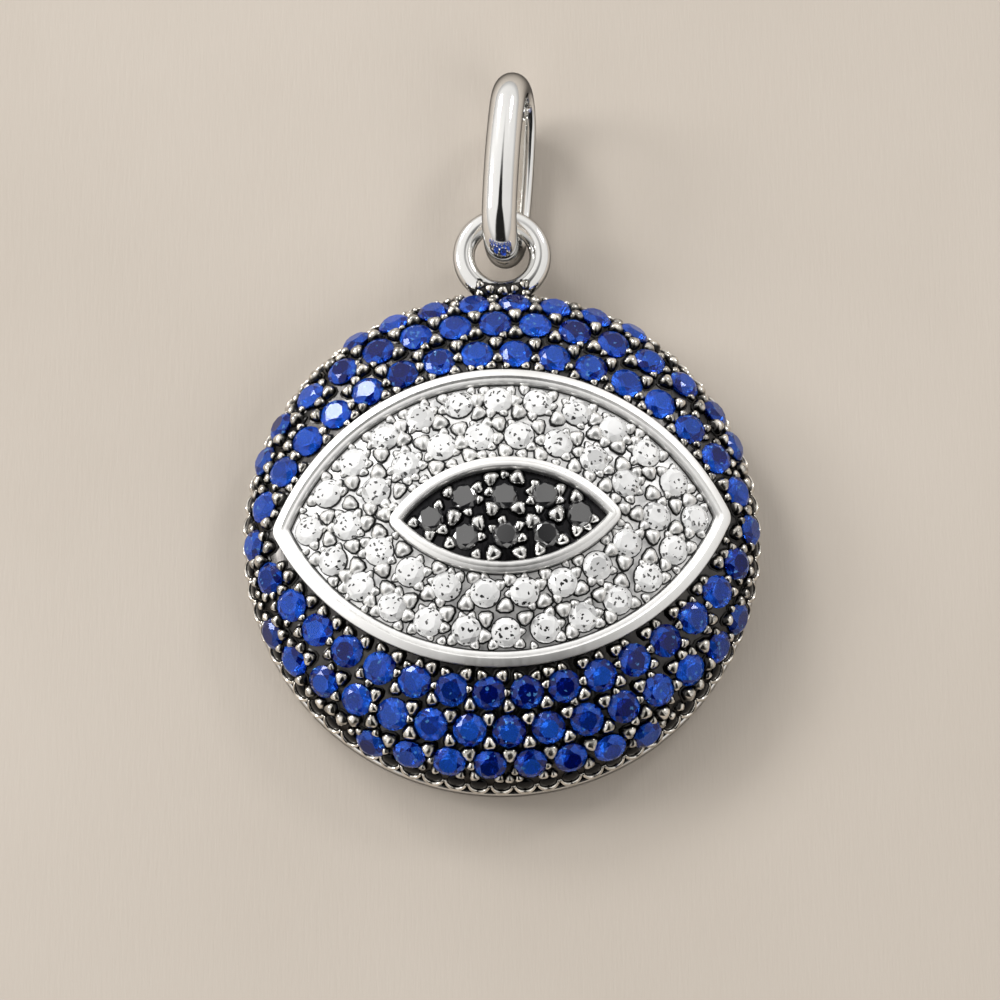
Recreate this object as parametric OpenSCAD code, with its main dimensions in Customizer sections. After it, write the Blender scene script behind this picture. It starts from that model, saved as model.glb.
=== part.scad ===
// Evil eye pendant lying on its flat back: a dark domed disc paved with blue stones,
// a bright eye plate paved with white stones, a dark pupil plate with eight black stones,
// a round loop soldered to the disc, and an oval bail ring hanging through the loop.
// The origin is the middle of the flat back, +Z points up out of the dome and +Y towards the loop.

/* [Disc] */
// Width of the disc across its foot
disc_d = 17; // [16:0.1:20]
// Height of the disc at its middle
disc_h = 4.2; // [3.8:0.1:5]
// Height of the bright rim round the foot
rim_h = 0.45; // [0.3:0.05:0.7]
// Step from the rim in to the dark wall above it
rim_step = 0.08; // [0.04:0.01:0.2]
// Height of the upright wall above the rim
wall_h = 0.15; // [0.05:0.05:0.4]
// Radius of the rounded shoulder of the dome
shoulder_r = 2.2; // [1.8:0.1:2.6]

/* [Eye] */
// Length of the eye between its two points
eye_len = 14.8; // [13:0.1:15.4]
// Width of the eye across its middle
eye_wid = 9.86; // [8.6:0.02:10.6]
// Turn of the eye about the middle of the disc, in degrees
eye_turn = 1.9; // [-10:0.1:10]
// Width of the bright band round the eye
band_w = 0.47; // [0.35:0.01:0.6]
// Height of the bright bands above the metal beside them
band_rise = 0.28; // [0.15:0.01:0.4]
// Height of the floor of the pocket that the eye plate lies in
eye_floor = 1.3; // [1:0.05:1.5]

/* [Pupil] */
// Length of the pupil between its two points, band included
pupil_len = 7.58; // [6.6:0.02:8]
// Width of the pupil across its middle, band included
pupil_wid = 3.86; // [3.4:0.02:4.2]
// Place of the pupil's middle along the eye
pupil_x = 0.1; // [-0.3:0.01:0.3]
// Place of the pupil's middle across the eye
pupil_y = -0.1; // [-0.2:0.01:0.2]
// Width of the bright band round the pupil
pupil_band = 0.39; // [0.25:0.01:0.5]
// Depth of the pupil plate's face below the level of the white field
pupil_sunk = 0.08; // [0:0.01:0.2]
// Height of the floor of the pocket that the pupil plate lies in
pupil_floor = 2.6; // [2.2:0.05:2.9]

/* [Stones] */
// Width of a blue stone
blue_d = 1.08; // [0.9:0.01:1.2]
// Space between neighbouring blue stones where they stand closest
blue_gap = 0.12; // [0.1:0.01:0.4]
// Width of a white stone
white_d = 0.96; // [0.8:0.01:1.1]
// Space between neighbouring white stones where they stand closest
white_gap = 0.26; // [0.1:0.01:0.4]
// Width of a black stone
black_d = 0.9; // [0.7:0.01:1]
// Space between neighbouring black stones where they stand closest
black_gap = 0.4; // [0.2:0.01:0.5]
// Distance of the two end stones of the pupil from its middle
black_end = 2.4; // [2.3:0.01:2.5]
// Distance of the blue stones off the eye's two points from those points
blue_end = 0.7; // [0.62:0.01:0.76]
// Distance of the outer white end stones from the eye's points
white_end = 1.15; // [1.1:0.01:1.3]
// Clear metal between the outermost blue stones' middles and the edge of the dome
edge_keep = 0.25; // [0.2:0.01:0.4]
// Height of a stone's girdle above the metal round it
stone_lift = 0.03; // [0:0.01:0.1]

/* [Loop and bail ring] */
// Distance of the loop's middle from the middle of the disc's edge
loop_out = 1.15; // [1:0.01:1.25]
// Height of the loop's middle above the flat back
loop_z = 1.6; // [1.5:0.01:1.75]
// Width of the hole through the loop
loop_hole = 1.84; // [1.8:0.01:2.1]
// Thickness of the loop's round wire
loop_wire = 0.72; // [0.6:0.01:0.76]
// Length of the bail ring
bail_len = 6.8; // [6.4:0.1:8]
// Height of the bail ring as it stands on edge
bail_high = 4; // [4:0.1:4.6]
// Radius of the bail ring's ends
bail_end_r = 1.85; // [1.8:0.01:1.9]
// Width of the bail ring's half-round wire
bail_w = 1.16; // [0.9:0.01:1.2]
// Thickness of the bail ring's half-round wire
bail_t = 0.74; // [0.6:0.01:0.78]
// Distance of the bail ring's middle to the right of the loop's middle
bail_x = 0.24; // [0:0.01:0.26]
// Lean of the bail ring to the right along its length, in degrees
bail_lean = 4; // [0:0.1:5]
// Tilt of the bail ring from upright, in degrees
bail_tilt = 9.5; // [0:0.5:10]

/* [Clearances] */
// Space between a plate and the pocket that it lies in
plate_gap = 0.04; // [0.02:0.01:0.08]
// Space between a stone and its seat
seat_gap = 0.03; // [0.02:0.01:0.05]
// Least space between neighbouring stones
stone_gap = 0.1; // [0.1:0.01:0.2]
// Space between the bail ring and the loop's far wall, at mid height
bail_gap = 0.45; // [0.4:0.01:0.6]
// Height of the bail ring's lowest point above the surface
rest_gap = 0.04; // [0.02:0.01:0.1]

/* [Hidden] */
$fn = 96;

// Rows of blue stones: half of the disc (1 above the eye, -1 below), distance of the row from
// the eye's edge in depths of the blue field, angle of the row's ends, spacing in stone pitches
blue_rows = [
    [1, 0.222, 62.2, 1.054],
    [-1, 0.248, 59, 1.01],
    [1, 0.593, 53.5, 1.105],
    [-1, 0.596, 51, 1.05],
    [1, 0.863, 25.2, 1.13],
    [-1, 0.889, 24.1, 1.09]
];
// Rows of white stones: the same columns, measured inwards from the band in depths of the white field
white_rows = [
    [1, 0.222, 53.5, 1.068],
    [-1, 0.229, 52, 1.038],
    [1, 0.723, 45, 1.05],
    [-1, 0.716, 44, 1.033]
];
// Spacing of the two white stones at each end of the eye, in stone pitches
end_space = 1.04;

// Stone proportions, in widths of the stone
table_share = 0.58;
crown_share = 0.16;
girdle_share = 0.04;
depth_share = 0.42;
facets = 8;

// The dome's profile is a crown arc that runs smoothly into a shoulder arc
dome_r = disc_d / 2 - rim_step;
edge_h = rim_h + wall_h;
arch_h = disc_h - edge_h;
shoulder_x = dome_r - shoulder_r;
crown_r = (pow(shoulder_x, 2) + pow(arch_h, 2) - pow(shoulder_r, 2)) / (2 * (arch_h - shoulder_r));
crown_z = disc_h - crown_r;
join_angle = atan2(shoulder_x, edge_h - crown_z);
join_x = crown_r * sin(join_angle);
shoulder_steps = 8;
crown_steps = 8;
cut_h = 3 * disc_h;

// The eye and the pupil are each bounded by two equal arcs
function arc_radius(len, wid) = (len * len + wid * wid) / (4 * wid);
eye_r = arc_radius(eye_len, eye_wid);
eye_c = eye_r - eye_wid / 2;
pupil_r = arc_radius(pupil_len, pupil_wid);
pupil_c = pupil_r - pupil_wid / 2;

blue_pitch = blue_d + blue_gap;
white_pitch = white_d + white_gap;
black_pitch = black_d + black_gap;
reach = dome_r - edge_keep;
// Depth of the two paved fields at their middle, and the drop of the end stones below the eye's axis
blue_field = reach - eye_wid / 2;
white_field = eye_wid / 2 - band_w - pupil_wid / 2;
end_drop = 0.02 * eye_wid;

// Height and slope of the dome at a distance from its middle
function dome_z(r) = r < join_x
    ? crown_z + sqrt(crown_r * crown_r - r * r)
    : edge_h + sqrt(max(shoulder_r * shoulder_r - (r - shoulder_x) * (r - shoulder_x), 0));
function dome_slope(r) = r < join_x ? asin(r / crown_r) : asin(min((r - shoulder_x) / shoulder_r, 1));
function on_dome(p) = [p[0], p[1], dome_z(norm(p))];

// From the eye's own axes to the disc's
function turned(p) = [
    p[0] * cos(eye_turn) - p[1] * sin(eye_turn),
    p[0] * sin(eye_turn) + p[1] * cos(eye_turn)
];
function pulled_in(p) = norm(p) > reach ? p * reach / norm(p) : p;

// Distance of a point outside the eye's edge or the pupil's edge, less than 0 inside it
function off_eye(p) = norm([p[0], abs(p[1]) + eye_c]) - eye_r;
function off_pupil(p) = norm([p[0] - pupil_x, abs(p[1] - pupil_y) + pupil_c]) - pupil_r;

// One row of stones along an arc that keeps its distance from the eye's edge
function row_of(half, off, ends, space) = let (
    r = eye_r + off,
    step = space / r * 180 / PI,
    count = round(2 * ends / step) + 1
) [
    for (i = [0:count - 1])
        let (a = (i - (count - 1) / 2) * step)
            [r * sin(a), half * (r * cos(a) - eye_c)]
];

// A stone is set only where it stands clear of those set before it
function is_clear(p, set, pitch) = len([
    for (q = set)
        if (norm(on_dome(p) - on_dome(q)) < pitch) 1
]) == 0;
function set_in_turn(all, pitch, i = 0, set = []) = i >= len(all)
    ? set
    : set_in_turn(all, pitch, i + 1, is_clear(all[i], set, pitch) ? concat(set, [all[i]]) : set);

blue_all = concat(
    [for (side = [-1, 1]) [side * (eye_len / 2 + blue_end), -end_drop]],
    [for (row = blue_rows) each row_of(row[0], row[1] * blue_field, row[2], row[3] * blue_pitch)]
);
blue_places = set_in_turn([for (p = blue_all) pulled_in(turned(p))], blue_d + stone_gap);

white_all = concat(
    [for (side = [-1, 1]) [side * (eye_len / 2 - white_end), -end_drop / 2]],
    [
        for (row = white_rows)
            each row_of(row[0], -band_w - row[1] * white_field, row[2], row[3] * white_pitch)
    ],
    [for (side = [-1, 1]) [side * (eye_len / 2 - white_end - end_space * white_pitch), -end_drop / 2]]
);
white_in = [
    for (p = white_all)
        if (off_eye(p) < -band_w - white_d / 2 - seat_gap && off_pupil(p) > white_d / 2 + seat_gap)
            turned(p)
];
white_places = set_in_turn(white_in, white_d + stone_gap);

black_all = concat(
    [for (i = [-1:1], j = [-0.5, 0.5]) [pupil_x + i * black_pitch, pupil_y + j * black_pitch]],
    [for (side = [-1, 1]) [pupil_x + side * black_end, pupil_y]]
);
black_in = [
    for (p = black_all)
        if (off_pupil(p) < -pupil_band - black_d / 2 - seat_gap - plate_gap)
            turned(p)
];
black_places = set_in_turn(black_in, black_d + stone_gap);

// The bail ring is an oval of four arcs
bail_side_r = (pow(bail_len / 2 - bail_end_r, 2) + pow(bail_high / 2, 2) - bail_end_r * bail_end_r)
    / (bail_high - 2 * bail_end_r);
bail_split = atan2(bail_len / 2 - bail_end_r, bail_side_r - bail_high / 2);
loop_y = disc_d / 2 + loop_out;
loop_r = (loop_hole + loop_wire) / 2;
bail_y = loop_y - loop_hole / 2 + bail_gap + bail_len / 2;
bail_z = rest_gap + bail_w / 2 + (bail_high / 2 - bail_w / 2) * cos(bail_tilt);

// Half of the dome's section, grown outwards by rise: short chords along the two arcs
module dome_section(rise) {
    shoulder = [
        for (i = [0:shoulder_steps]) let (a = i / shoulder_steps * (90 - join_angle))
            [shoulder_x, edge_h] + (shoulder_r + rise) * [cos(a), sin(a)]
    ];
    crown = [
        for (i = [1:crown_steps]) let (a = (1 - i / crown_steps) * join_angle)
            [0, crown_z] + (crown_r + rise) * [sin(a), cos(a)]
    ];
    polygon(concat([[0, 0], [dome_r + rise, 0]], shoulder, crown));
}

module dome_body(rise) {
    rotate_extrude($fn = 180) dome_section(rise);
}

// A prism between two arcs, standing on a height
module almond(r, c, from_z) {
    intersection() {
        translate([0, -c, from_z]) cylinder(r = r, h = cut_h, $fn = 360);
        translate([0, c, from_z]) cylinder(r = r, h = cut_h, $fn = 360);
    }
}

module eye_prism(grow, from_z) {
    rotate([0, 0, eye_turn]) almond(eye_r + grow, eye_c, from_z);
}

module pupil_prism(grow, from_z) {
    rotate([0, 0, eye_turn]) translate([pupil_x, pupil_y, 0]) almond(pupil_r + grow, pupil_c, from_z);
}

// Puts its children on the dome at each place, square to the metal there
module on_metal(places, sunk = 0) {
    for (p = places) {
        translate(on_dome(p)) rotate([0, dome_slope(norm(p)), atan2(p[1], p[0])])
            translate([0, 0, stone_lift - sunk]) children();
    }
}

// A cut stone: a table, crown facets, a thin girdle and pavilion facets to a point
module cut_stone(d) {
    ring = [for (i = [0:facets - 1]) let (a = (i + 0.5) * 360 / facets) [cos(a), sin(a)]];
    levels = [
        [d / 2 * table_share, d * (crown_share + girdle_share)],
        [d / 2, d * girdle_share],
        [d / 2, 0]
    ];
    points = concat(
        [for (l = levels, q = ring) [q[0] * l[0], q[1] * l[0], l[1]]],
        [[0, 0, -d * depth_share]]
    );
    sides = [
        for (l = [0:1], i = [0:facets - 1])
            let (j = (i + 1) % facets, up = l * facets, low = (l + 1) * facets)
                [up + j, up + i, low + i, low + j]
    ];
    point = [for (i = [0:facets - 1]) [2 * facets + (i + 1) % facets, 2 * facets + i, 3 * facets]];
    table = [[for (i = [0:facets - 1]) facets - 1 - i]];
    polyhedron(points, concat(table, sides, point));
}

// The hole that a stone sits in: a cone for its pavilion under a short bore for its girdle
module stone_seat(d) {
    deep = d * depth_share + 2 * seat_gap;
    top = d * (crown_share + girdle_share) + seat_gap;
    bore = d / 2 + seat_gap;
    rotate_extrude($fn = 48)
        polygon([[0, -deep], [2 * seat_gap, -deep], [bore, 0], [bore, top], [0, top]]);
}

module loop() {
    translate([0, loop_y, loop_z]) rotate_extrude()
        translate([loop_r, 0]) circle(d = loop_wire, $fn = 48);
}

module dome() {
    color("#1b1b1f") difference() {
        union() {
            dome_body(0);
            cylinder(r = disc_d / 2, h = rim_h, $fn = 180);
            loop();
        }
        eye_prism(plate_gap, eye_floor);
        on_metal(blue_places) stone_seat(blue_d);
    }
}

module eye_plate() {
    color("#e8e8ea") difference() {
        intersection() {
            dome_body(band_rise);
            eye_prism(0, eye_floor + plate_gap);
        }
        difference() {
            eye_prism(-band_w, eye_floor);
            pupil_prism(0, 0);
            dome_body(0);
        }
        pupil_prism(-pupil_band, pupil_floor);
        on_metal(white_places) stone_seat(white_d);
    }
}

module pupil_plate() {
    color("#17171a") difference() {
        intersection() {
            dome_body(-pupil_sunk);
            pupil_prism(-pupil_band - plate_gap, pupil_floor + plate_gap);
        }
        on_metal(black_places, pupil_sunk) stone_seat(black_d);
    }
}

module blue_stones() {
    color("#2038c0") on_metal(blue_places) cut_stone(blue_d);
}

module white_stones() {
    color("#f4f6fa") on_metal(white_places) cut_stone(white_d);
}

module black_stones() {
    color("#3a3a40") on_metal(black_places, pupil_sunk) cut_stone(black_d);
}

// Half-round wire swept along one arc of the bail ring
module wire_arc(outer_r, from_angle, sweep) {
    rotate([0, 0, from_angle]) rotate_extrude(angle = sweep)
        translate([outer_r - bail_w / 2, 0]) intersection() {
            circle(d = bail_w, $fn = 48);
            translate([bail_w / 2 - bail_t, -bail_w]) square(2 * bail_w);
        }
}

// A short pin inside the wire, across the joint of two arcs
module joint_pin(angle) {
    rotate([0, 0, angle]) translate([bail_end_r - bail_t / 2, 0, 0])
        rotate([90, 0, 0]) cylinder(d = bail_t / 2, h = bail_t, center = true, $fn = 24);
}

module bail_ring() {
    color("#dcdce0") translate([bail_x, bail_y, bail_z]) rotate([0, -bail_tilt, 0])
        rotate([0, 0, -bail_lean]) rotate([90, 0, 90]) union() {
            for (side = [0, 180]) rotate([0, 0, side]) {
                translate([bail_len / 2 - bail_end_r, 0, 0]) {
                    wire_arc(bail_end_r, bail_split - 90, 180 - 2 * bail_split);
                    for (turn = [-1, 1]) joint_pin(turn * (90 - bail_split));
                }
                translate([0, bail_high / 2 - bail_side_r, 0])
                    wire_arc(bail_side_r, 90 - bail_split, 2 * bail_split);
            }
        }
}

dome();
eye_plate();
pupil_plate();
bail_ring();
blue_stones();
white_stones();
black_stones();
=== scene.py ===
import math
import random
from contextlib import contextmanager

import bmesh
import bpy
from mathutils import Matrix, Vector
from mathutils.geometry import delaunay_2d_cdt

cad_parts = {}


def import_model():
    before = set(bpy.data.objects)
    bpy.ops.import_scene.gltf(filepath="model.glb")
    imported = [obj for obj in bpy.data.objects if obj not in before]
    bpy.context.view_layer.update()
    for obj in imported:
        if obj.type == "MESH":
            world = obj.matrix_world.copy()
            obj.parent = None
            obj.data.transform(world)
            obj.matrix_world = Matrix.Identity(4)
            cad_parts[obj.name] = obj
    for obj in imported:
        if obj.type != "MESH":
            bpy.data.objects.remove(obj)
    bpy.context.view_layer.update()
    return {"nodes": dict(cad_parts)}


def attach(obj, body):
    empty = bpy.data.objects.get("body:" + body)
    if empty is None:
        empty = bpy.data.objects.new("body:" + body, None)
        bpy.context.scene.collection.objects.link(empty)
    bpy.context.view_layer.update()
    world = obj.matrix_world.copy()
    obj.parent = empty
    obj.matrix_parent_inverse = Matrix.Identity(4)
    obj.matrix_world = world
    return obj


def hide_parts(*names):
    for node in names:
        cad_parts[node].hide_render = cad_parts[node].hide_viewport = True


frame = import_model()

MM = 0.001
FULL_TURN = 2 * math.pi

# Points this close are one, an edge this short is a sliver, and a radius this small is on the axis
WELD, CAD_WELD = 1e-7, 2e-6
SLIVER = 0.00003 * MM
ON_AXIS, NEAR = 1e-9, 1e-6

# Sizes of the metalwork, as the CAD model has them
DISC_H = 4.2 * MM
RIM_H = 0.45 * MM
DOME_R = 8.42 * MM
EDGE_H = 0.6 * MM
SHOULDER_R = 2.2 * MM
EYE_LEN, EYE_WID, EYE_TURN = 14.8 * MM, 9.86 * MM, math.radians(1.9)
PUPIL_LEN, PUPIL_WID = 7.58 * MM, 3.86 * MM
EYE_MID, PUPIL_MID = (0, 0), (0.1 * MM, -0.1 * MM)
EYE_BAND, PUPIL_BAND, PUPIL_SUNK = 0.47 * MM, 0.39 * MM, 0.08 * MM
EYE_NOSE, PUPIL_NOSE = 0.6 * MM, 0.36 * MM
POCKET_GAP = 0.04 * MM
EYE_FLOOR, PUPIL_FLOOR, CUT_TOP = 1.34 * MM, 2.64 * MM, 6 * MM
LOOP_Y, LOOP_Z, LOOP_R, LOOP_WIRE = 9.65 * MM, 1.6 * MM, 1.28 * MM, 0.72 * MM
LOOP_MID = Vector((0, LOOP_Y, LOOP_Z))
BAIL_LEN, BAIL_HIGH, BAIL_END_R = 6.8 * MM, 4.0 * MM, 1.85 * MM
BAIL_W, BAIL_T = 1.16 * MM, 0.74 * MM
BAIL_X, BAIL_LEAN, BAIL_TILT = 0.24 * MM, math.radians(4), math.radians(9.5)
BAIL_IN, BAIL_LIFT = 0.45 * MM, 0.04 * MM
BAIL_Y = LOOP_Y - (LOOP_R - LOOP_WIRE / 2) + BAIL_IN + BAIL_LEN / 2
BAIL_Z = BAIL_LIFT + BAIL_W / 2 + (BAIL_HIGH / 2 - BAIL_W / 2) * math.cos(BAIL_TILT)

# Cut of the stones, in half widths of a stone. The black ones have a wider table
TABLE, CROWN_H = 0.58, 0.40
FLAT_TABLE, FLAT_CROWN = 0.7, 0.44
GIRDLE_H, DEPTH, LOWER_HALF_R = 0.08, 0.84, 0.26

# The seats: the gap round a stone, and how far up the bore goes, in widths of the stone
SEAT_GAP, SEAT_TOP = 0.03 * MM, 0.6

# How far the grounds of the fields reach under the bands, the height at which the blue field
# ends, how near an edge a stone is mirrored past it, and the turn of a bead to its next stone
UNDER_EYE, UNDER_PUPIL = 0.02 * MM, 0.01 * MM
FIELD_FOOT = 1.5 * MM
BLUE_REACH, WHITE_REACH = 1.3 * MM, 1.1 * MM
LOBE_TURN = math.pi / 3

# The dome: a crown arc that runs smoothly into a shoulder arc, then an upright wall
SHOULDER_X = DOME_R - SHOULDER_R
ARCH = DISC_H - EDGE_H
CROWN_R = (SHOULDER_X ** 2 + ARCH ** 2 - SHOULDER_R ** 2) / (2 * (ARCH - SHOULDER_R))
CROWN_Z = DISC_H - CROWN_R
JOIN = math.atan2(SHOULDER_X, EDGE_H - CROWN_Z)
CROWN_RUN = CROWN_R * JOIN
FULL_RUN = CROWN_RUN + SHOULDER_R * (math.pi / 2 - JOIN)

# Metals: material, two tones, least and most roughness, strength of the marks, scale of the tones
METALS = {
    "silver": ("polished_silver", (0.92, 0.915, 0.9), (0.84, 0.835, 0.82), 0.05, 0.14, 0.03, 500.0),
    "band": ("band_silver", (0.98, 0.975, 0.96), (0.92, 0.915, 0.9), 0.38, 0.52, 0.1, 500.0),
    "rim": ("bright_rim", (0.9, 0.885, 0.86), (0.8, 0.785, 0.76), 0.12, 0.28, 0.2, 500.0),
    "field": ("white_field_silver", (0.85, 0.845, 0.835), (0.45, 0.45, 0.45),
              0.38, 0.52, 0.5, 2500.0),
    "black": ("black_plating", (0.035, 0.034, 0.036), (0.02, 0.02, 0.022), 0.16, 0.36, 0.4, 1200.0),
    "dome": ("dome_plating", (0.085, 0.08, 0.076), (0.045, 0.043, 0.042), 0.2, 0.4, 0.4, 1200.0),
    # The dark strips that paint shade in the white field, beside the bands and round the stones
    "lines": ("painted_shade_black", (0.045, 0.045, 0.045), (0.09, 0.09, 0.09), 0.3, 0.5, 0.4, 2500.0),
}

# Metals of the beads: material, foot, tip, heights between which the foot turns into the tip,
# share of brightness in the darker clouds on the tips, least and most roughness. The bright tips of
# the black and pupil beads are partly worn plating, partly a painted highlight.
BEAD_METALS = {
    # Black and pupil beads: the bright tip is partly worn plating, partly a painted highlight
    "black_beads": ("black_plated_beads", (0.03, 0.029, 0.028), (0.97, 0.92, 0.84),
                    0.55, 0.8, 0.25, 0.1, 0.28),
    # Foot beads: the bright tip colour goes on the scallops' lips, a painted reflection of the
    # floor
    "foot_beads": ("foot_beads", (0.015, 0.015, 0.016), (0.95, 0.9, 0.82),
                   0.2, 0.8, 0.6, 0.1, 0.28),
    "pupil_beads": ("pupil_beads", (0.008, 0.008, 0.009), (0.98, 0.97, 0.95),
                    0.35, 0.6, 0.5, 0.1, 0.28),
    # Silver beads: the dark ring at the foot is painted shade where the bead meets the ground
    "silver_beads": ("silver_beads", (0.03, 0.03, 0.03), (0.99, 0.985, 0.97),
                     0.12, 0.26, 0.8, 0.36, 0.55),
}

# Lights: name, place, width and height, power, whether the metal mirrors it
LIGHTS = (
    ("key", (-0.22, 0.14, 0.22), (0.16, 0.16), 0.46, False),
    ("fill", (0.16, -0.2, 0.24), (0.22, 0.22), 0.44, False),
    ("left window", (-0.272, 0.064, 0.144), (0.085, 0.08), 0.3, True),
    ("back window", (-0.16, 0.218, 0.166), (0.07, 0.07), 0.3, True),
    ("right window", (0.17, 0.2, 0.2), (0.05, 0.05), 0.14, True),
)

# Camera, as the photo was taken, and the floor
CAMERA_PLACE, CAMERA_TILT = (-0.0665 * MM, -30.66 * MM, 112.51 * MM), math.radians(16)
SENSOR, LENS = 36, 126.18
FLOOR_HALF, FLOOR_Z = 0.6, -0.00001


# Curves of the dome and of the two almonds

def arc_radius(length, width):
    """Radius of the two arcs of an almond of that length and width."""
    return (length * length + width * width) / (4 * width)


EYE_R = arc_radius(EYE_LEN, EYE_WID)
EYE_C = EYE_R - EYE_WID / 2
PUPIL_R = arc_radius(PUPIL_LEN, PUPIL_WID)
PUPIL_C = PUPIL_R - PUPIL_WID / 2


def on_crown(slope, rise):
    """Distance from the middle and height of the crown arc where it has that slope."""
    return (CROWN_R + rise) * math.sin(slope), CROWN_Z + (CROWN_R + rise) * math.cos(slope)


def on_shoulder(slope, rise):
    """The same for the shoulder arc."""
    return (SHOULDER_X + (SHOULDER_R + rise) * math.sin(slope),
            EDGE_H + (SHOULDER_R + rise) * math.cos(slope))


def slope_at(run):
    """Slope of the dome after that run of metal from its middle."""
    if run < CROWN_RUN:
        return run / CROWN_R
    return min(JOIN + (run - CROWN_RUN) / SHOULDER_R, math.pi / 2)


def profile(run, rise):
    """Distance from the middle and height, that far along the dome and that far above it."""
    if run < CROWN_RUN:
        return on_crown(slope_at(run), rise)
    r, z = on_shoulder(slope_at(run), rise)
    return r, z - max(run - FULL_RUN, 0)


def run_of(r):
    """Run of metal from the middle out to that distance from the axis."""
    if r < CROWN_R * math.sin(JOIN):
        return CROWN_R * math.asin(r / CROWN_R)
    slope = math.asin(min((r - SHOULDER_X) / SHOULDER_R, 1))
    return CROWN_RUN + SHOULDER_R * (slope - JOIN)


def run_at(z):
    """Run of metal from the middle down to that height, below the crown."""
    return FULL_RUN - SHOULDER_R * math.asin((z - EDGE_H) / SHOULDER_R)


def on_dome(x, y, rise):
    """The point of the dome over x, y, moved square to the metal by rise."""
    r = math.hypot(x, y)
    moved, z = profile(run_of(r), rise)
    k = moved / r if r > ON_AXIS else 1
    return Vector((x * k, y * k, z))


def turned(x, y):
    """From the eye's own axes to the disc's."""
    c, s = math.cos(EYE_TURN), math.sin(EYE_TURN)
    return x * c - y * s, x * s + y * c


def unturned(x, y):
    """From the disc's axes to the eye's own."""
    c, s = math.cos(EYE_TURN), math.sin(EYE_TURN)
    return x * c + y * s, y * c - x * s


def off_almond(x, y, radius, centre, mid):
    """Distance outside an almond's edge, and the way out from it, in the eye's axes."""
    dx, dy = x - mid[0], y - mid[1]
    side = 1 if dy >= 0 else -1
    way = Vector((dx, side * (abs(dy) + centre)))
    return way.length - radius, way.normalized()


def off_eye(x, y):
    """Distance outside the eye's edge, and the way out from it."""
    return off_almond(x, y, EYE_R, EYE_C, EYE_MID)


def off_pupil(x, y):
    """Distance outside the pupil's edge, and the way out from it."""
    return off_almond(x, y, PUPIL_R, PUPIL_C, PUPIL_MID)


def circle(count):
    """As many angles, evenly round a circle."""
    return [FULL_TURN * i / count for i in range(count)]


def around(angle):
    """The way out from an axis at that angle."""
    return Vector((math.cos(angle), math.sin(angle), 0))


def up(height):
    """A step straight up."""
    return Vector((0, 0, height))


def in_mm(pairs):
    """Pairs of lengths, written in millimetres."""
    return [(u * MM, h * MM) for u, h in pairs]


# Making meshes

def in_scene(name, data):
    """A new object in the scene."""
    obj = bpy.data.objects.new(name, data)
    bpy.context.scene.collection.objects.link(obj)
    return obj


@contextmanager
def editing(mesh):
    """The mesh opened for changes, which are written back at the end."""
    bm = bmesh.new()
    bm.from_mesh(mesh)
    yield bm
    bm.to_mesh(mesh)
    bm.free()


def mesh_object(name, verts, faces, smooth=None):
    """A piece from points in metres. smooth is the sharpest angle that is still shaded round."""
    mesh = bpy.data.meshes.new(name)
    mesh.from_pydata([tuple(v) for v in verts], [], faces)
    with editing(mesh) as bm:
        bmesh.ops.remove_doubles(bm, verts=bm.verts, dist=WELD)
        bmesh.ops.recalc_face_normals(bm, faces=bm.faces)
    obj = in_scene(name, mesh)
    if smooth is not None:
        shade(obj, smooth)
    return obj


def shade(obj, degrees):
    """Shades a piece round, apart from edges sharper than that."""
    obj.data.shade_smooth()
    obj.data.set_sharp_from_angle(angle=math.radians(degrees))


def wall(low, high, count):
    """Faces between two rings of points, whose first points have those numbers."""
    return [(low + i, low + (i + 1) % count, high + (i + 1) % count, high + i)
            for i in range(count)]


def lathe(name, points, segments, smooth=None):
    """A closed solid turned round Z from points (r, z), which start and end on the axis."""
    verts, faces, rings = [], [], []
    for r, z in points:
        if r < ON_AXIS:
            rings.append([len(verts)] * segments)
            verts.append((0, 0, z))
            continue
        rings.append(range(len(verts), len(verts) + segments))
        verts += [(r * math.cos(a), r * math.sin(a), z) for a in circle(segments)]
    for low, high in zip(rings, rings[1:]):
        for i in range(segments):
            j = (i + 1) % segments
            faces.append(list(dict.fromkeys([low[i], low[j], high[j], high[i]])))
    return mesh_object(name, verts, faces, smooth)


def swept(name, rings, smooth, closed=True):
    """A tube through rings of as many points each, with open ends where it isn't closed."""
    count = len(rings[0])
    faces = []
    for k in range(len(rings) if closed else len(rings) - 1):
        faces += wall(k * count, (k + 1) % len(rings) * count, count)
    return mesh_object(name, [p for ring in rings for p in ring], faces, smooth)


def almond_outline(radius, centre, inward, nose, steps=110, nose_steps=8):
    """Points round an almond that is moved inwards, its two ends rounded to a nose's radius."""
    inset = max(nose, inward)
    half = math.acos(centre / (radius - inset))
    end = (radius - inset) * math.sin(half)
    points = []
    for side in (1, -1):
        for i in range(steps + 1):
            a = half * (1 - 2 * i / steps)
            points.append((side * (radius - inward) * math.sin(a),
                           side * ((radius - inward) * math.cos(a) - centre)))
        for i in range(1, nose_steps):
            a = half + (math.pi - 2 * half) * i / nose_steps
            points.append((-side * (end + (inset - inward) * math.sin(a)),
                           side * (inset - inward) * math.cos(a)))
    return points


def almond_prism(name, radius, centre, mid, low, high, nose=0.0):
    """An upright prism over an almond, turned with the eye."""
    outline = [turned(mid[0] + x, mid[1] + y)
               for x, y in almond_outline(radius, centre, 0.0, nose)]
    count = len(outline)
    verts = [(x, y, z) for z in (low, high) for x, y in outline]
    faces = [list(range(count))[::-1], list(range(count, 2 * count))]
    return mesh_object(name, verts, faces + wall(0, count, count))


def keep_result(obj):
    """Makes what the modifiers give the piece's own mesh."""
    bpy.context.view_layer.update()
    graph = bpy.context.evaluated_depsgraph_get()
    made = bpy.data.meshes.new_from_object(obj.evaluated_get(graph))
    old = obj.data
    obj.modifiers.clear()
    obj.data = made
    bpy.data.meshes.remove(old)


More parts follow.
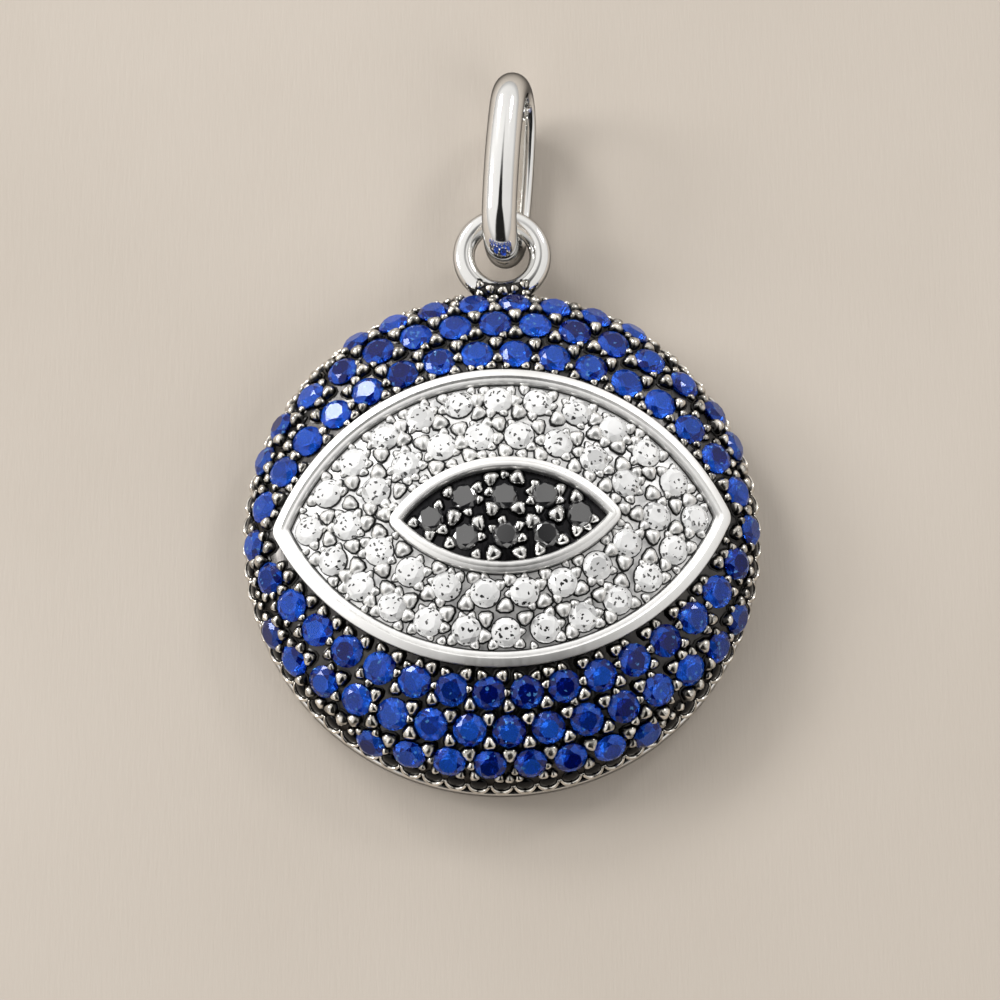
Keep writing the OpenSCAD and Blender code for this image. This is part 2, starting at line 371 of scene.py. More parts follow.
def cut(obj, tool, way="DIFFERENCE"):
    """Cuts obj with the tool, or keeps what they share, and takes out the slivers left by that."""
    modifier = obj.modifiers.new("cut", "BOOLEAN")
    modifier.operation, modifier.solver, modifier.object = way, "EXACT", tool
    keep_result(obj)
    bpy.data.objects.remove(tool)
    with editing(obj.data) as bm:
        bmesh.ops.dissolve_degenerate(bm, dist=SLIVER, edges=bm.edges)


def joined(name, objects):
    """One piece out of several."""
    mesh = bpy.data.meshes.new(name)
    with editing(mesh) as bm:
        for obj in objects:
            bm.from_mesh(obj.data)
            bpy.data.objects.remove(obj)
    return in_scene(name, mesh)


# Stones and their seats

def loose_parts(bm):
    """The points of each loose part of a mesh."""
    seen = set()
    for start in bm.verts:
        if start.index in seen:
            continue
        part, todo = [], [start]
        seen.add(start.index)
        while todo:
            vert = todo.pop()
            part.append(vert.co.copy())
            for edge in vert.link_edges:
                other = edge.other_vert(vert)
                if other.index not in seen:
                    seen.add(other.index)
                    todo.append(other)
        yield part


def stone_places(cad_node):
    """Where the CAD's stones of that node sit: (girdle's middle, axis, width) of each."""
    bm = bmesh.new()
    bm.from_mesh(frame["nodes"][cad_node].data)
    bmesh.ops.remove_doubles(bm, verts=bm.verts, dist=CAD_WELD)
    places = []
    for part in loose_parts(bm):
        tip = max(part, key=lambda p: sum((p - q).length for q in part))
        others = [p for p in part if (p - tip).length > NEAR]
        axis = (sum(others, Vector()) / len(others) - tip).normalized()
        half = max(((p - tip) - axis * (p - tip).dot(axis)).length for p in others)
        places.append((tip + axis * half * DEPTH, axis, 2 * half))
    bm.free()
    return places


def brilliant(name, table_r, crown):
    """A round stone of half width 1 with table, star, kite, half and pavilion facets."""
    def at(r, z, step):
        a = math.pi / 8 * step
        return r * math.cos(a), r * math.sin(a), z

    lower = math.cos(math.pi / 8)
    slope = (crown - GIRDLE_H) / (1 - table_r)
    star_r = (1 + table_r) / 2
    star_z = crown - slope * (star_r * lower - table_r)
    half_z = -DEPTH + DEPTH * LOWER_HALF_R * lower
    table = [at(table_r, crown, 2 * i) for i in range(8)]
    star = [at(star_r, star_z, 2 * i + 1) for i in range(8)]
    top = [at(1, GIRDLE_H, i) for i in range(16)]
    bottom = [at(1, 0, i) for i in range(16)]
    half = [at(LOWER_HALF_R, half_z, 2 * i + 1) for i in range(8)]
    verts = table + star + top + bottom + half + [(0, 0, -DEPTH)]
    # Numbers of the first point of the table, stars, girdle's top and bottom, halves, and the tip
    t, s, g, b, h, tip = 0, 8, 16, 32, 48, 56
    faces = [list(range(8))]
    for i in range(8):
        j, before = (i + 1) % 8, (i - 1) % 8
        here, beside, past = 2 * i, 2 * i + 1, (2 * i + 2) % 16
        faces += [(t + i, s + i, t + j),
                  (t + i, s + before, g + here, s + i),
                  (s + i, g + here, g + beside),
                  (s + i, g + beside, g + past),
                  (tip, h + before, b + here, h + i),
                  (h + i, b + here, b + beside),
                  (h + i, b + beside, b + past)]
    return mesh_object(name, verts, faces + wall(g, b, 16))


def seat_cutter(stones, sides=32):
    """The cones and bores that the stones sit in, as one solid of loose parts."""
    verts, faces = [], []
    for centre, axis, width in stones:
        turn = axis.to_track_quat("Z", "Y")
        half = width / 2
        levels = [(2 * SEAT_GAP, -half * DEPTH - 2 * SEAT_GAP), (half + SEAT_GAP, 0),
                  (half + SEAT_GAP, width * SEAT_TOP)]
        base = len(verts)
        for r, z in levels:
            verts += [centre + turn @ Vector((r * math.cos(a), r * math.sin(a), z))
                      for a in circle(sides)]
        middle, top = base + sides, base + 2 * sides
        faces += [[base + i for i in range(sides)][::-1], [top + i for i in range(sides)]]
        faces += wall(base, middle, sides) + wall(middle, top, sides)
    return mesh_object("seats", verts, faces)


# Making nodes

def feed(tree, target, ins):
    """Fills a node's inputs, by name or number, with plain values or links to other outputs."""
    for key, value in dict(ins).items():
        if isinstance(value, bpy.types.NodeSocket):
            tree.links.new(value, target.inputs[key])
        else:
            target.inputs[key].default_value = value


def node(tree, kind, ins=(), **settings):
    """A new node with its settings and inputs."""
    made = tree.nodes.new(kind)
    for key, value in settings.items():
        setattr(made, key, value)
    feed(tree, made, ins)
    return made


def maths(tree, way, *values):
    """The result of a Math node over the values."""
    return node(tree, "ShaderNodeMath", enumerate(values), operation=way).outputs[0]


def ramp(tree, value, start, end, low=0.0, high=1.0, way="LINEAR"):
    """The value carried over from the range start to end into the range low to high."""
    ins = {"Value": value, "From Min": start, "From Max": end, "To Min": low, "To Max": high}
    return node(tree, "ShaderNodeMapRange", ins, interpolation_type=way).outputs["Result"]


def mixed(tree, factor, first, second):
    """Two colours mixed."""
    ins = {"Factor": factor, 6: first, 7: second}
    return node(tree, "ShaderNodeMix", ins, data_type="RGBA").outputs[2]


def noise(tree, where, scale, detail=2.0):
    """The outputs of a noise over those coordinates."""
    ins = {"Vector": where, "Scale": scale, "Detail": detail}
    return node(tree, "ShaderNodeTexNoise", ins).outputs


def on_object(tree):
    """The place on the object, for a pattern."""
    return node(tree, "ShaderNodeTexCoord").outputs["Object"]


def stored_on(tree, name):
    """The number that a piece stores under that name."""
    return node(tree, "ShaderNodeAttribute", attribute_name=name).outputs["Fac"]


# Copies set in rows by geometry nodes

def spread_tree():
    """Sets a shape on every point of a carrier, square to the metal, with seeded spin and tone."""
    tree = bpy.data.node_groups.new("set_on_metal", "GeometryNodeTree")
    for name, kind in (("Geometry", "Geometry"), ("Shape", "Object"), ("Seed", "Int"),
                       ("Spin", "Float"), ("Tilt", "Float"), ("Finish", "Material")):
        tree.interface.new_socket(name, in_out="INPUT", socket_type="NodeSocket" + kind)
    tree.interface.new_socket("Geometry", in_out="OUTPUT", socket_type="NodeSocketGeometry")
    given = node(tree, "NodeGroupInput").outputs

    def carried(name, kind):
        made = node(tree, "GeometryNodeInputNamedAttribute", {"Name": name}, data_type=kind)
        return made.outputs["Attribute"]

    def drawn(most=1.0):
        ins = {3: most, "Seed": given["Seed"]}
        return node(tree, "FunctionNodeRandomValue", ins, data_type="FLOAT").outputs[1]

    def stored(geometry, name, domain):
        ins = {"Geometry": geometry, "Name": name, "Value": drawn()}
        made = node(tree, "GeometryNodeStoreNamedAttribute", ins, data_type="FLOAT", domain=domain)
        return made.outputs["Geometry"]

    shape = node(tree, "GeometryNodeObjectInfo", {"Object": given["Shape"]})
    ins = {"Primary Axis": carried("axis", "FLOAT_VECTOR"), "Secondary Axis": (0.02, 0.01, 1)}
    square = node(tree, "FunctionNodeAxesToRotation", ins, primary_axis="Z", secondary_axis="Y")
    about = maths(tree, "ADD", drawn(given["Spin"]), carried("turn", "FLOAT"))
    angles = node(tree, "ShaderNodeCombineXYZ", {"X": drawn(given["Tilt"]), "Z": about})
    own = node(tree, "FunctionNodeEulerToRotation", {"Euler": angles.outputs["Vector"]})
    ins = {"Rotation": square.outputs["Rotation"], "Rotate By": own.outputs["Rotation"]}
    both = node(tree, "FunctionNodeRotateRotation", ins, rotation_space="LOCAL")
    ins = {"Points": given["Geometry"], "Instance": shape.outputs["Geometry"],
           "Rotation": both.outputs["Rotation"], "Scale": carried("size", "FLOAT_VECTOR")}
    copies = node(tree, "GeometryNodeInstanceOnPoints", ins).outputs["Instances"]
    ins = {"Geometry": stored(copies, "tone", "INSTANCE")}
    real = node(tree, "GeometryNodeRealizeInstances", ins).outputs["Geometry"]
    ins = {"Geometry": stored(real, "facet", "FACE"), "Material": given["Finish"]}
    finish = node(tree, "GeometryNodeSetMaterial", ins)
    node(tree, "NodeGroupOutput", {"Geometry": finish.outputs["Geometry"]})
    return tree


def spread(name, tree, copies, shape, finish, seed, spin, tilt=0.0):
    """One piece of all copies of a shape, from each copy's (point, axis, scale, turn about it)."""
    carrier = bpy.data.meshes.new(name)
    carrier.from_pydata([tuple(c[0]) for c in copies], [], [])
    for key, part in (("axis", 1), ("size", 2)):
        layer = carrier.attributes.new(key, "FLOAT_VECTOR", "POINT")
        layer.data.foreach_set("vector", [number for c in copies for number in c[part]])
    layer = carrier.attributes.new("turn", "FLOAT", "POINT")
    layer.data.foreach_set("value", [c[3] for c in copies])
    obj = in_scene(name, carrier)
    modifier = obj.modifiers.new("set", "NODES")
    modifier.node_group = tree
    values = {"Shape": shape, "Seed": seed, "Spin": spin, "Tilt": tilt, "Finish": finish}
    for item in tree.interface.items_tree:
        if item.in_out == "INPUT" and item.name in values:
            modifier[item.identifier] = values[item.name]
    keep_result(obj)
    for key in ("axis", "size", "turn"):
        if key in obj.data.attributes:
            obj.data.attributes.remove(obj.data.attributes[key])
    return obj


# Places of the beads, on a flat map of the dome that keeps distances along the metal

def unrolled(x, y):
    """The place on the map of the dome's point over x, y."""
    r = math.hypot(x, y)
    k = run_of(r) / r if r > ON_AXIS else 1
    return Vector((x * k, y * k))


def rolled(spot, rise=0.0):
    """The point of the dome and the way out of it at a place of the map."""
    run = max(spot.length, ON_AXIS)
    r, z = profile(run, rise)
    a = slope_at(run)
    x, y = spot.x / run, spot.y / run
    return Vector((x * r, y * r, z)), Vector((x * math.sin(a), y * math.sin(a), math.cos(a)))


def triangle_spots(flat, beyond):
    """Middles of the triangles between neighbours. beyond holds stand-ins past the edges."""
    points = [spot / MM for spot, _ in flat] + [spot / MM for spot in beyond]
    _, _, triangles, sources, *_ = delaunay_2d_cdt(points, [], [], 0, 1e-4)
    spots = []
    for triangle in triangles:
        corners = [sources[v][0] for v in triangle]
        if sum(1 for i in corners if i < len(flat)) >= 2:
            spots.append(sum((points[i] for i in corners), Vector((0, 0))) / 3 * MM)
    return spots


def filling_spots(reach, seed, step=0.16 * MM, jitter=0.2, row_step=0.87):
    """A jittered hexagonal grid over the map, for the ground that the triangles leave bare."""
    rng = random.Random(seed)
    count = int(reach / step) + 1
    spots = []
    for row in range(-count, count + 1):
        for column in range(-count, count + 1):
            x = (column + (row % 2) / 2) * step + rng.uniform(-1, 1) * step * jitter
            y = row * step * row_step + rng.uniform(-1, 1) * step * jitter
            if math.hypot(x, y) < reach:
                spots.append(Vector((x, y)))
    return spots


def angle_uphill(spot, way):
    """Angle of a way on the map in a copy's own axes, whose Y points up to the top of the dome."""
    uphill = -spot.normalized() if spot.length > NEAR else Vector((0, 1))
    return math.atan2(way.dot(uphill), way.x * uphill.y - way.y * uphill.x)


def bead_spots(stones, beyond, room_at, least, most, lap, seed, past=1.2 * MM, apart=0.9):
    """(place on the map, half width, turn) of each bead, which may lap over a stone by lap.

    room_at gives a place's distance inside the field, and past is how far the grid goes beyond
    the last stone. Two beads stay apart by that share of their half widths.
    """
    flat = [(unrolled(c.x, c.y), w / 2) for c, _, w in stones]
    reach = max(spot.length for spot, _ in flat) + past
    beads = []
    for spot in triangle_spots(flat, beyond) + filling_spots(reach, seed):
        room = min(min((spot - q).length - half for q, half in flat) + lap, room_at(spot), most)
        if room < least:
            continue
        if all((spot - q).length > (room + r) * apart for q, r, _ in beads):
            near = min((q for q, _ in flat), key=lambda q: (spot - q).length)
            beads.append((spot, room, angle_uphill(spot, near - spot) + LOBE_TURN))
    return beads


def mirrored_past(stones, off, reach):
    """Each stone near an edge, mirrored across it. off gives the distance and the way out."""
    spots = []
    for centre, _, _ in stones:
        x, y = unturned(centre.x, centre.y)
        away, way = off(x, y)
        if abs(away) < reach:
            spots.append(unrolled(*turned(x - 2 * away * way.x, y - 2 * away * way.y)))
    return spots


def inside_band(off, width):
    """Measures from the inner edge of a band of that width instead of its outer edge."""
    def measured(x, y):
        away, way = off(x, y)
        return away + width, way
    return measured


def blue_room(spot):
    """Distance inside the blue field, between the eye and the row round the foot."""
    point, _ = rolled(spot)
    away, _ = off_eye(*unturned(point.x, point.y))
    return min(away - UNDER_EYE, run_at(FIELD_FOOT) - spot.length)


def white_room(spot):
    """Distance inside the white field, between the two bands."""
    point, _ = rolled(spot)
    x, y = unturned(point.x, point.y)
    return min(-off_eye(x, y)[0] - EYE_BAND, off_pupil(x, y)[0]) + UNDER_EYE


def black_room(spot):
    """Distance inside the pupil's band."""
    point, _ = rolled(spot)
    return -off_pupil(*unturned(point.x, point.y))[0] - PUPIL_BAND + UNDER_PUPIL


def field_beads(blue, white, black):
    """The bead places of the three paved fields."""
    edge = [around(a).xy * (FULL_RUN + 0.15 * MM) for a in circle(52)]
    eye_opening = inside_band(off_eye, EYE_BAND)
    pupil_opening = inside_band(off_pupil, PUPIL_BAND)
    blue_past = mirrored_past(blue, off_eye, BLUE_REACH) + edge
    white_past = (mirrored_past(white, eye_opening, WHITE_REACH)
                  + mirrored_past(white, off_pupil, WHITE_REACH))
    black_past = mirrored_past(black, pupil_opening, WHITE_REACH)
    return (bead_spots(blue, blue_past, blue_room,
                       least=0.15 * MM, most=0.27 * MM, lap=0.11 * MM, seed=3),
            bead_spots(white, white_past, white_room,
                       least=0.12 * MM, most=0.25 * MM, lap=0.1 * MM, seed=5),
            bead_spots(black, black_past, black_room,
                       least=0.16 * MM, most=0.31 * MM, lap=0.12 * MM, seed=7))


# Shapes and copies of the beads

def mark_tops(bead, heights):
    """Stores the attribute top on a bead: 0 where it is dark, 1 where it is bright."""
    top = bead.data.attributes.new("top", "FLOAT", "POINT")
    top.data.foreach_set("value", heights)


def bead_shape(name, lobes=0.14, sides=12):
    """A domed bead of half width 1 with three lobes, marked by height for a painted highlight at
    its tip and, on silver beads, painted shade at its foot.
    """
    outline = [(0, -0.4), (1.24, -0.4), (1.24, 0.02), (1.02, 0.08), (0.9, 0.5), (0.58, 0.86),
               (0.25, 0.98), (0, 1)]
    bead = lathe(name, outline, sides)
    for v in bead.data.vertices:
        grow = 1 + lobes * math.cos(3 * math.atan2(v.co.y, v.co.x))
        v.co.x, v.co.y = v.co.x * grow, v.co.y * grow
    shade(bead, degrees=50)
    mark_tops(bead, [max(v.co.z, 0) for v in bead.data.vertices])
    return bead


def painted_reflection_lip():
    """The lip of a scallop: a bright tube round its lower half, thickest at the bottom, that paints
    the floor's reflection on the bead's lower edge.
    """
    rings = []
    for k in range(11):
        a = math.radians(-174 + 16.8 * k)
        drop = math.sin(-a)
        middle = Vector((0.86 * math.cos(a), 0.86 * math.sin(a), 0.35 * drop))
        thick = 0.35 + 0.65 * drop
        rings.append([middle + (around(a) * 0.24 * math.cos(b) + up(0.4 * math.sin(b))) * thick
                      for b in circle(6)])
    return swept("lip", rings, smooth=60, closed=False)


def scallop_shape(name, sides=12):
    """A black bead with a bright lip, a painted reflection of the floor on its lower edge, for the
    row round the foot.
    """
    outline = [(0, -0.5), (0.74, -0.5), (0.74, 0.0), (0.64, 0.26), (0.36, 0.42), (0, 0.46)]
    bead = lathe(name, outline, sides, smooth=60)
    lip = painted_reflection_lip()
    with editing(bead.data) as bm:
        dark = len(bm.verts)
        bm.from_mesh(lip.data)
        bmesh.ops.holes_fill(bm, edges=bm.edges)
    bpy.data.objects.remove(lip)
    mark_tops(bead, [0.0 if v.index < dark else 1.0 for v in bead.data.vertices])
    return bead


def bead_copies(beads, tall, sink):
    """Copies of a bead at those places, each a little narrower and taller or lower."""
    rng = random.Random(31)
    copies = []
    for spot, half, turn in beads:
        point, way = rolled(spot, -sink)
        narrow = rng.uniform(0.82, 1.05)
        size = (half, half * narrow, half * tall * rng.uniform(0.9, 1.1))
        copies.append((point, way, size, turn))
    return copies


def foot_copies(count=70, height=1.25 * MM):
    """The row of scallops round the foot."""
    half = math.pi * DOME_R / count
    copies = []
    for i in range(count):
        point, way = rolled(around(FULL_TURN * (i + 0.5) / count).xy * run_at(height))
        copies.append((point, way, (half * 1.06, half * 1.2, half * 0.5), 0.0))
    return copies


def root_copies(half=0.18 * MM):
    """Beads in two rows over the loop's root, where it is soldered to the dome."""
    copies = []
    for ring, angles, rise in ((LOOP_R + 0.06 * MM, (-33, -17, 1, 18, 34), 0.32 * MM),
                               (LOOP_R + 0.32 * MM, (-28, -9, 10, 29), 0.24 * MM)):
        for i, degrees in enumerate(angles):
            a = math.radians(degrees)
            point = Vector((ring * math.sin(a), LOOP_Y - ring * math.cos(a), LOOP_Z + rise))
            size = half * (0.9 + 0.2 * ((i * 7) % 3) / 2)
            way = Vector((0, -0.15, 1)).normalized()
            copies.append((point, way, (size, size * 1.1, size), 0.7 * i))
    return copies


def gem_copies(stones):
    """Copies of a gem in the places of the stones."""
    return [(centre, axis, (width / 2,) * 3, 0.0) for centre, axis, width in stones]


# Shared effects of the materials

def group_of_nodes(name, ins, outs):
    """A new group with named inputs, numbers or colours, and named outputs of a kind each."""
    tree = bpy.data.node_groups.new(name, "ShaderNodeTree")
    for key, value in ins.items():
        kind = "NodeSocketColor" if isinstance(value, tuple) else "NodeSocketFloat"
        tree.interface.new_socket(key, in_out="INPUT", socket_type=kind).default_value = value
    for key, kind in outs.items():
        tree.interface.new_socket(key, in_out="OUTPUT", socket_type="NodeSocket" + kind)
    return tree, node(tree, "NodeGroupInput").outputs


def polish_marks():
    """Soft waves and fine scratches of hand polishing: a roughness mask and a height."""
    tree, given = group_of_nodes(
        "polish_marks", {"Wave": 600.0, "Scratch": 9000.0, "Least": 0.06, "Most": 0.2},
        {"Roughness": "Float", "Height": "Float"})
    where = on_object(tree)
    wave = noise(tree, where, given["Wave"], 3)["Fac"]
    ins = {"Vector": where, "Scale": (1, 0.12, 1), "Rotation": (0.2, 0.3, 0.6)}
    stretched = node(tree, "ShaderNodeMapping", ins).outputs["Vector"]
    scratch = noise(tree, stretched, given["Scratch"])["Fac"]
    both = maths(tree, "MULTIPLY_ADD", scratch, 0.5, maths(tree, "MULTIPLY", wave, 0.5))
    rough = ramp(tree, both, 0.35, 0.65, given["Least"], given["Most"])
    node(tree, "NodeGroupOutput", {"Roughness": rough, "Height": both})
    return tree


def two_tone():
    """Mixes two colours by a cloudy mask on the surface."""
    tree, given = group_of_nodes(
        "two_tone", {"First": (1, 1, 1, 1), "Second": (0.5, 0.5, 0.5, 1), "Size": 500.0},
        {"Color": "Color"})
    cloud = ramp(tree, noise(tree, on_object(tree), given["Size"], 4)["Fac"], 0.35, 0.65)
    node(tree, "NodeGroupOutput", {"Color": mixed(tree, cloud, given["First"], given["Second"])})
    return tree


def painted_reflection_specks():
    """Painted reflections: mixes another colour into a colour in small scattered specks, standing
    for small facets that mirror something, dark specks on the white stones and light-blue glints on
    the blue ones.
    """
    tree, given = group_of_nodes(
        "painted_reflection_specks", {"Color": (1, 1, 1, 1), "Dark": (0.03, 0.03, 0.03, 1), "Size": 5200.0,
                        "Width": 0.29, "Share": 0.6}, {"Color": "Color"})
    where = on_object(tree)
    ins = {0: noise(tree, where, 7000.0)["Color"], 1: (0.00022, 0.00022, 0.00022), 2: where}
    bent = node(tree, "ShaderNodeVectorMath", ins, operation="MULTIPLY_ADD").outputs["Vector"]
    cells = node(tree, "ShaderNodeTexVoronoi", {"Vector": bent, "Scale": given["Size"]}).outputs
    near = maths(tree, "LESS_THAN", cells["Distance"], given["Width"])
    chance = node(tree, "ShaderNodeSeparateColor", {"Color": cells["Color"]}).outputs["Red"]
    some = maths(tree, "LESS_THAN", chance, given["Share"])
    mask = maths(tree, "MULTIPLY", near, some)
    node(tree, "NodeGroupOutput", {"Color": mixed(tree, mask, given["Color"], given["Dark"])})
    return tree


def placed(tree, effect, **values):
    """The outputs of a shared effect, placed in a material with its own values."""
    return node(tree, "ShaderNodeGroup", values, node_tree=effect).outputs


# Materials

def new_material(name, plain):
    """A material with its shader, and plain values on the shader's own sockets."""
    material = bpy.data.materials.new(name)
    material.use_nodes = True
    tree = material.node_tree
    shader = next(n for n in tree.nodes if n.type == "BSDF_PRINCIPLED")
    feed(tree, shader, plain)
    return material, tree, shader


def marked(tree, shader, effects, colour, wave, least, most, strength, depth=0.00002):
    """Gives a surface its colour, with polish marks in its roughness and its height."""
    marks = placed(tree, effects["marks"], Wave=wave, Least=least, Most=most)
    ins = {"Height": marks["Height"], "Strength": strength, "Distance": depth}
    bump = node(tree, "ShaderNodeBump", ins)
    feed(tree, shader, {"Base Color": colour, "Roughness": marks["Roughness"],
                        "Normal": bump.outputs["Normal"]})


def cloudy(tree, effects, colour, share, scale):
    """A colour with clouds of its darker tone, of that share of its brightness."""
    darker = (*(share * c for c in colour), 1)
    return placed(tree, effects["tones"], First=(*colour, 1), Second=darker, Size=scale)["Color"]


def metal(effects, name, first, second, least, most, strength, scale):
    """A metal of two tones with polish marks."""
    plain = {"Metallic": 1.0, "Specular Tint": (0.14, 0.14, 0.14, 1)}
    material, tree, shader = new_material(name, plain)
    tones = placed(tree, effects["tones"], First=(*first, 1), Second=(*second, 1), Size=scale)
    marked(tree, shader, effects, tones["Color"], 600.0, least, most, strength)
    return material


def bead_metal(effects, name, foot, tip, start, end, tip_cloud_share, least, most):
    """Dark at the foot and bright at the tip by the beads' own attribute, with darker clouds on the
    tip. A bright tip is partly worn plating, partly a painted highlight; the dark foot of a silver
    bead is painted shade.
    """
    material, tree, shader = new_material(name, {"Metallic": 1.0})
    height = ramp(tree, stored_on(tree, "top"), start, end)
    colour = mixed(tree, height, (*foot, 1), cloudy(tree, effects, tip, tip_cloud_share, 5000.0))
    marked(tree, shader, effects, colour, 2500.0, least, most, 0.35)
    return material


def gem(effects, name, deep, light, least, most, ior, through, mirror=0.5, tint=(1, 1, 1),
        specks=0.0, reflected_colour=(0.03, 0.03, 0.03)):
    """A cut stone. Each facet mixes the deep and the light colour, between least and most."""
    plain = {"IOR": ior, "Transmission Weight": through, "Roughness": 0.02,
             "Specular IOR Level": mirror, "Specular Tint": (*tint, 1)}
    material, tree, shader = new_material(name, plain)
    both = maths(tree, "MULTIPLY_ADD", stored_on(tree, "tone"), 0.5, stored_on(tree, "facet"))
    colour = mixed(tree, ramp(tree, both, least, most), (*deep, 1),
                   cloudy(tree, effects, light, 0.75, 900.0))
    # Specks of another colour paint small reflections in the facets
    if specks:
        dots = placed(tree, effects["specks"], Color=colour, Dark=(*reflected_colour, 1), Share=specks)
        colour = dots["Color"]
    feed(tree, shader, {"Base Color": colour})
    return material


def all_materials(effects):
    """Every finish of the pendant, by the name that the pieces ask for."""
    looks = {key: metal(effects, *values) for key, values in METALS.items()}
    looks.update((key, bead_metal(effects, *values)) for key, values in BEAD_METALS.items())
    # The blue stones' light-blue specks are painted glints, the white stones' dark specks painted
    # dark reflections
    looks["blue"] = gem(effects, "blue_stone", (0.001, 0.008, 0.17), (0.026, 0.18, 1.0),
                        least=0.4, most=0.95, ior=1.6, through=0.72, mirror=0.34,
                        tint=(0.62, 0.66, 1), specks=0.25, reflected_colour=(0.14, 0.45, 1.0))
    looks["clear"] = gem(effects, "white_stone", (0.4, 0.4, 0.4), (0.93, 0.93, 0.925),
                         least=0.15, most=0.42, ior=2.1, through=0.2, specks=0.95)
    looks["dark"] = gem(effects, "black_stone", (0.006, 0.006, 0.007), (0.024, 0.024, 0.026),
                        least=0.0, most=1.5, ior=2.35, through=0.0)
    return looks


# Pieces of the metalwork

def dome_points(rise, foot, steps=40):
    """Outline of the dome from its axis at the foot, out and up to its top."""
    points = [(0, foot), (DOME_R + rise, foot)]
    points += [on_shoulder(math.pi / 2 + (JOIN - math.pi / 2) * i / steps, rise)
               for i in range(steps + 1)]
    points += [on_crown(JOIN * (1 - i / steps), rise) for i in range(1, steps + 1)]
    return points


def disc_body(stones):
    """The black plated dome, with the pocket of the eye plate and a seat for each blue stone."""
    body = lathe("disc_body", dome_points(0, RIM_H), segments=192)
    cut(body, almond_prism("pocket", EYE_R + POCKET_GAP, EYE_C, EYE_MID, EYE_FLOOR - POCKET_GAP,
                           CUT_TOP, EYE_NOSE + POCKET_GAP))
    cut(body, seat_cutter(stones))
    shade(body, degrees=28)
    return body


def foot_rim():
    """The bright rim round the foot, and the closed flat back that it carries."""
    edge = [(0, 0), (8.28, 0), (8.42, 0.02), (8.485, 0.08), (8.5, 0.16), (8.5, 0.33), (8.47, 0.41),
            (8.42, 0.45), (8.3, 0.45), (0, 0.45)]
    return lathe("foot_rim", in_mm(edge), segments=240, smooth=40)


def white_field(stones):
    """The bright ground between the two bands, with a seat for each white stone."""
    field = lathe("white_field", dome_points(0, EDGE_H), segments=160)
    cut(field, almond_prism("edge", EYE_R - EYE_BAND + UNDER_EYE, EYE_C, EYE_MID, EYE_FLOOR,
                            CUT_TOP), "INTERSECT")
    cut(field, almond_prism("middle", PUPIL_R - UNDER_EYE, PUPIL_C, PUPIL_MID, 0, CUT_TOP))
    cut(field, seat_cutter(stones))
    shade(field, degrees=28)
    return field


def pupil_ground(stones):
    """The black ground of the pupil, a little below the white field."""
    plate = lathe("pupil_ground", dome_points(-PUPIL_SUNK, EDGE_H), segments=160)
    cut(plate, almond_prism("edge", PUPIL_R - PUPIL_BAND + UNDER_PUPIL, PUPIL_C, PUPIL_MID,
                            PUPIL_FLOOR, CUT_TOP), "INTERSECT")
    cut(plate, seat_cutter(stones))
    shade(plate, degrees=28)
    return plate


def band(name, radius, centre, mid, section, nose):
    """A raised band inside an almond's edge. section holds (way in, height above the dome)."""
    lines = [[on_dome(*turned(mid[0] + x, mid[1] + y), rise)
              for x, y in almond_outline(radius, centre, inward, nose)]
             for inward, rise in section]
    return swept(name, list(zip(*lines)), smooth=32)


def eye_band():
    """The raised band round the eye."""
    section = [(0, -0.4), (0, 0.2), (0.03, 0.26), (0.08, 0.28), (0.27, 0.275), (0.3, 0.25),
               (0.33, 0.2), (0.42, 0.18), (0.455, 0.15), (0.47, 0.09), (0.47, -0.4)]
    return band("eye_band", EYE_R, EYE_C, EYE_MID, in_mm(section), EYE_NOSE)


def pupil_band():
    """The raised band round the pupil."""
    section = [(0, -0.4), (0, 0.16), (0.03, 0.22), (0.08, 0.25), (0.17, 0.25), (0.2, 0.27),
               (0.27, 0.28), (0.34, 0.26), (0.38, 0.2), (0.39, 0.12), (0.39, -0.45)]
    return band("pupil_band", PUPIL_R, PUPIL_C, PUPIL_MID, in_mm(section), PUPIL_NOSE)


def top_loop(flattened=0.8):
    """The round loop soldered to the edge, its wire a little flattened."""
    rings, half = [], LOOP_WIRE / 2
    for a in circle(144):
        ring = []
        for b in circle(36):
            across = math.copysign(abs(math.cos(b)) ** flattened, math.cos(b)) * half
            rise = math.copysign(abs(math.sin(b)) ** flattened, math.sin(b)) * half
            ring.append(LOOP_MID + around(a) * (LOOP_R + across) + up(rise))
        rings.append(ring)
    return swept("top_loop", rings, smooth=60)


def loop_root():
    """The black plated root of the loop, which the beads of the dome run up to."""
    rings = []
    for k in range(33):
        t = -1 + k / 16
        a = math.radians(-90 + 42 * t)
        thick = LOOP_WIRE / 2 * (1.07 - 0.2 * t ** 8)
        rings.append([LOOP_MID + around(a) * (LOOP_R + 0.03 * MM + thick * math.cos(b))
                      + up(thick * math.sin(b)) for b in circle(24)])
    root = swept("loop_root", rings, smooth=60, closed=False)
    with editing(root.data) as bm:
        bmesh.ops.holes_fill(bm, edges=bm.edges)
        bmesh.ops.recalc_face_normals(bm, faces=bm.faces)
    return root


def bail_section():
    """Half-round wire: (distance out from the round's middle, distance to the side)."""
    half, inner = BAIL_W / 2, BAIL_W / 2 - BAIL_T
    angles = [math.radians(-98 + 7 * i) for i in range(29)]
    flat = [(0.82, 0.93), (1, 0.8), (1, 0.4), (1, -0.4), (1, -0.8), (0.82, -0.93)]
    return ([(half * math.cos(a), half * math.sin(a)) for a in angles]
            + [(inner * u, half * v) for u, v in flat])


